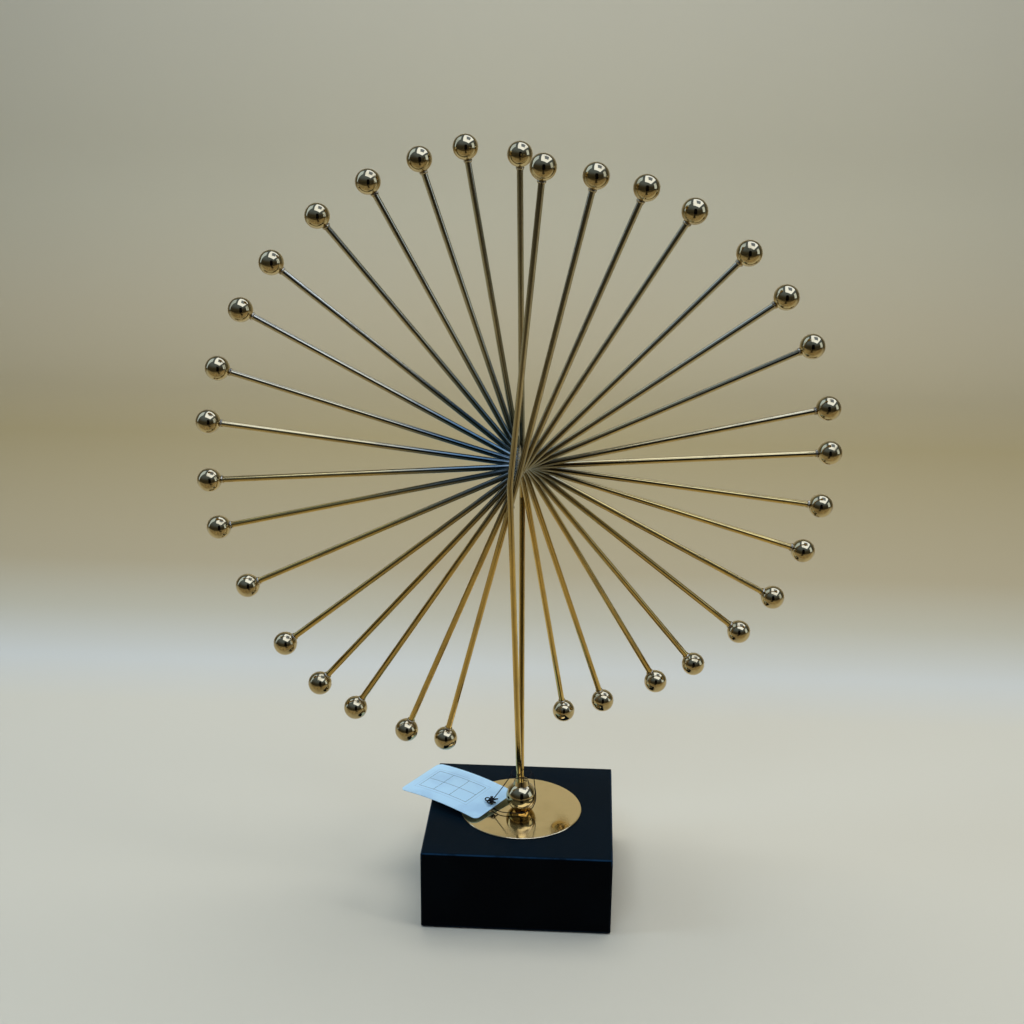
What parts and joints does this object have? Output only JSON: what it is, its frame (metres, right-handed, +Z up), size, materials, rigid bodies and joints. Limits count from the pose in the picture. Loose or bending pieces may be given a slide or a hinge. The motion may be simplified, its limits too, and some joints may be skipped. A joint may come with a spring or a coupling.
{
  "type": "starburst ornament",
  "caption": "Free-standing starburst ornament: a fan of thin brass-plated rods with a small ball on every end, on a ball stem and a square block, with a hang tag.",
  "frame": {"origin": "centre of the block's underside, on the table", "axes": "+Z up, -Y the front, X along the block's front edge"},
  "size_m": [0.3982, 0.1235, 0.4925],
  "materials": {
    "rod_brass": "polished plating over drawn rod",
    "ball_brass": "bright champagne-gold plating",
    "braze": "rough plated braze",
    "mirror_plate": "mirror-polished rose gold",
    "black_lacquer": "satin black lacquer",
    "felt": "black felt",
    "steel": "zinc-plated",
    "card": "pale blue coated card with blank ruled lines",
    "thread": "black twisted thread"
  },
  "bodies": {
    "base": {"base_block": "black_lacquer", "felt_sheet": "felt", "mirror_plate": "mirror_plate", "base_washer": "steel"},
    "sculpture": {"rod_01": "rod_brass", "rod_02": "rod_brass", "rod_03": "rod_brass", "rod_04": "rod_brass", "rod_05": "rod_brass", "rod_06": "rod_brass", "rod_07": "rod_brass", "rod_08": "rod_brass", "rod_09": "rod_brass", "rod_10": "rod_brass", "rod_11": "rod_brass", "rod_12": "rod_brass", "rod_13": "rod_brass", "rod_14": "rod_brass", "rod_15": "rod_brass", "rod_16": "rod_brass", "ball_pair_01": "ball_brass", "ball_pair_02": "ball_brass", "ball_pair_03": "ball_brass", "ball_pair_04": "ball_brass", "ball_pair_05": "ball_brass", "ball_pair_06": "ball_brass", "ball_pair_07": "ball_brass", "ball_pair_08": "ball_brass", "ball_pair_09": "ball_brass", "ball_pair_10": "ball_brass", "ball_pair_11": "ball_brass", "ball_pair_12": "ball_brass", "ball_pair_13": "ball_brass", "ball_pair_14": "ball_brass", "ball_pair_15": "ball_brass", "ball_pair_16": "ball_brass", "front_spoke": "rod_brass", "front_leg": "rod_brass", "front_ball": "ball_brass", "back_spoke": "rod_brass", "back_leg": "rod_brass", "back_ball": "ball_brass", "front_braze": "braze", "hub_braze": "braze", "back_braze": "braze", "stand_ball": "ball_brass", "stem_weld": "ball_brass", "base_screw": "steel"},
    "tag": {"tag_card": "card", "tag_thread": "thread", "tag_knot": "thread"}
  },
  "joints": [
    {"name": "sculpture_swivel", "type": "hinge", "parent": "base", "child": "sculpture", "pos_m": [0, 0, 0.0552], "axis": [0, 0, 1], "range_deg": [-45, 45]},
    {"name": "tag_swing", "type": "hinge", "parent": "sculpture", "child": "tag", "pos_m": [0, 0, 0.08], "axis": [0, 0, 1], "continuous": true}
  ]
}
